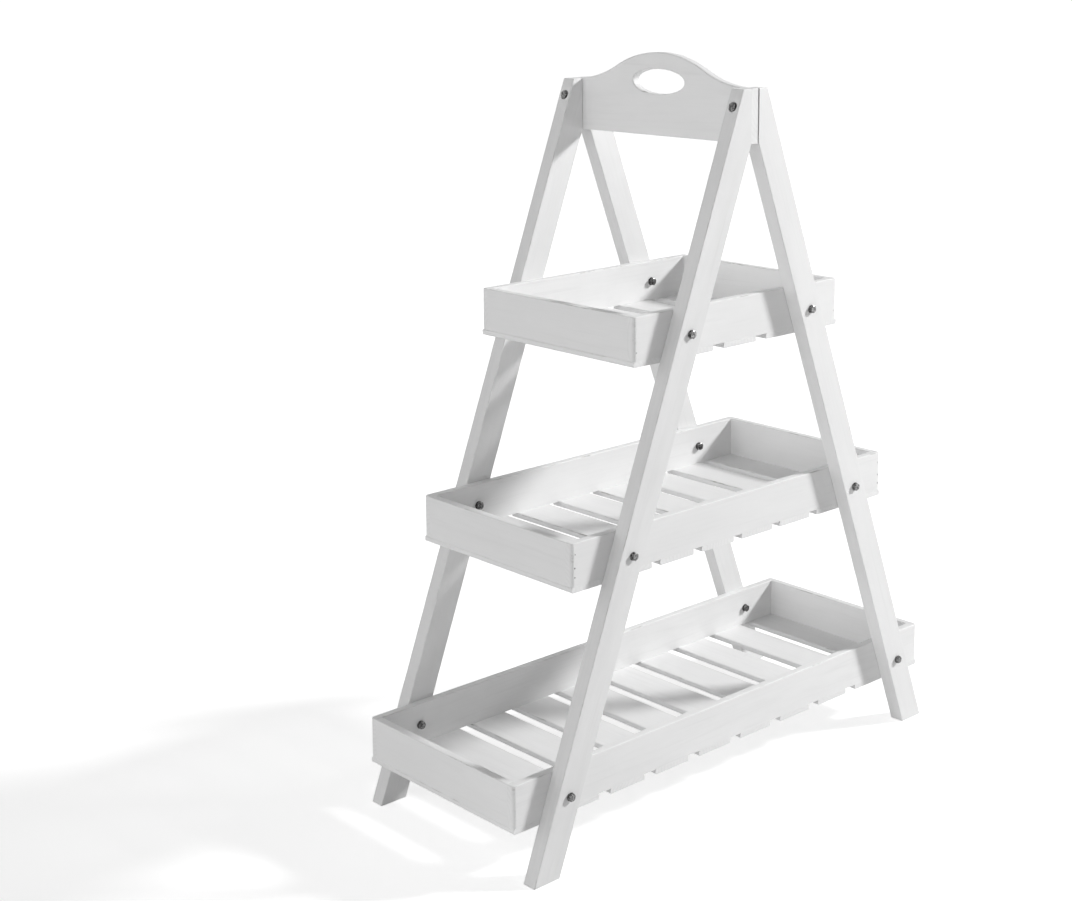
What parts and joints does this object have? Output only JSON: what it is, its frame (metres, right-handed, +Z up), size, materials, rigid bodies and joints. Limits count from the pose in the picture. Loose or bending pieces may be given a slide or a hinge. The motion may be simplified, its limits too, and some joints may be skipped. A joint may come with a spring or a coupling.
{
  "type": "plant ladder stand",
  "caption": "Wooden A-frame plant stand: sloping legs carry slatted trays that grow longer towards the floor, under an arched board with an oval hand hole.",
  "frame": {"origin": "on the floor, under the middle of the stand", "axes": "+Z up; +X along the trays, to the right as seen from the front; +Y from the front A-frame to the back one"},
  "size_m": [0.842, 0.3574, 1.0415],
  "materials": {
    "painted_wood": "white paint over softwood, faint grain showing, edges rubbed",
    "zinc_steel": "zinc-plated steel bolts, nuts and washers, darkened by age, dull sheen"
  },
  "bodies": {
    "root": {"leg_front_left": "painted_wood", "leg_front_right": "painted_wood", "leg_back_left": "painted_wood", "leg_back_right": "painted_wood", "handle_board": "painted_wood", "handle_bolt_front": "zinc_steel", "handle_bolt_back": "zinc_steel", "handle_nut_front": "zinc_steel", "handle_nut_back": "zinc_steel", "bottom_tray_front_board": "painted_wood", "bottom_tray_back_board": "painted_wood", "bottom_tray_left_end": "painted_wood", "bottom_tray_right_end": "painted_wood", "bottom_tray_slat_1": "painted_wood", "bottom_tray_slat_2": "painted_wood", "bottom_tray_slat_3": "painted_wood", "bottom_tray_slat_4": "painted_wood", "bottom_tray_slat_5": "painted_wood", "bottom_tray_slat_6": "painted_wood", "bottom_tray_slat_7": "painted_wood", "bottom_tray_slat_8": "painted_wood", "bottom_tray_slat_9": "painted_wood", "bottom_tray_slat_10": "painted_wood", "bottom_tray_bolt_front_left": "zinc_steel", "bottom_tray_bolt_front_right": "zinc_steel", "bottom_tray_bolt_back_left": "zinc_steel", "bottom_tray_bolt_back_right": "zinc_steel", "middle_tray_front_board": "painted_wood", "middle_tray_back_board": "painted_wood", "middle_tray_left_end": "painted_wood", "middle_tray_right_end": "painted_wood", "middle_tray_slat_1": "painted_wood", "middle_tray_slat_2": "painted_wood", "middle_tray_slat_3": "painted_wood", "middle_tray_slat_4": "painted_wood", "middle_tray_slat_5": "painted_wood", "middle_tray_slat_6": "painted_wood", "middle_tray_slat_7": "painted_wood", "middle_tray_slat_8": "painted_wood", "middle_tray_bolt_front_left": "zinc_steel", "middle_tray_bolt_front_right": "zinc_steel", "middle_tray_bolt_back_left": "zinc_steel", "middle_tray_bolt_back_right": "zinc_steel", "top_tray_front_board": "painted_wood", "top_tray_back_board": "painted_wood", "top_tray_left_end": "painted_wood", "top_tray_right_end": "painted_wood", "top_tray_slat_1": "painted_wood", "top_tray_slat_2": "painted_wood", "top_tray_slat_3": "painted_wood", "top_tray_slat_4": "painted_wood", "top_tray_slat_5": "painted_wood", "top_tray_bolt_front_left": "zinc_steel", "top_tray_bolt_front_right": "zinc_steel", "top_tray_bolt_back_left": "zinc_steel", "top_tray_bolt_back_right": "zinc_steel"}
  },
  "joints": []
}
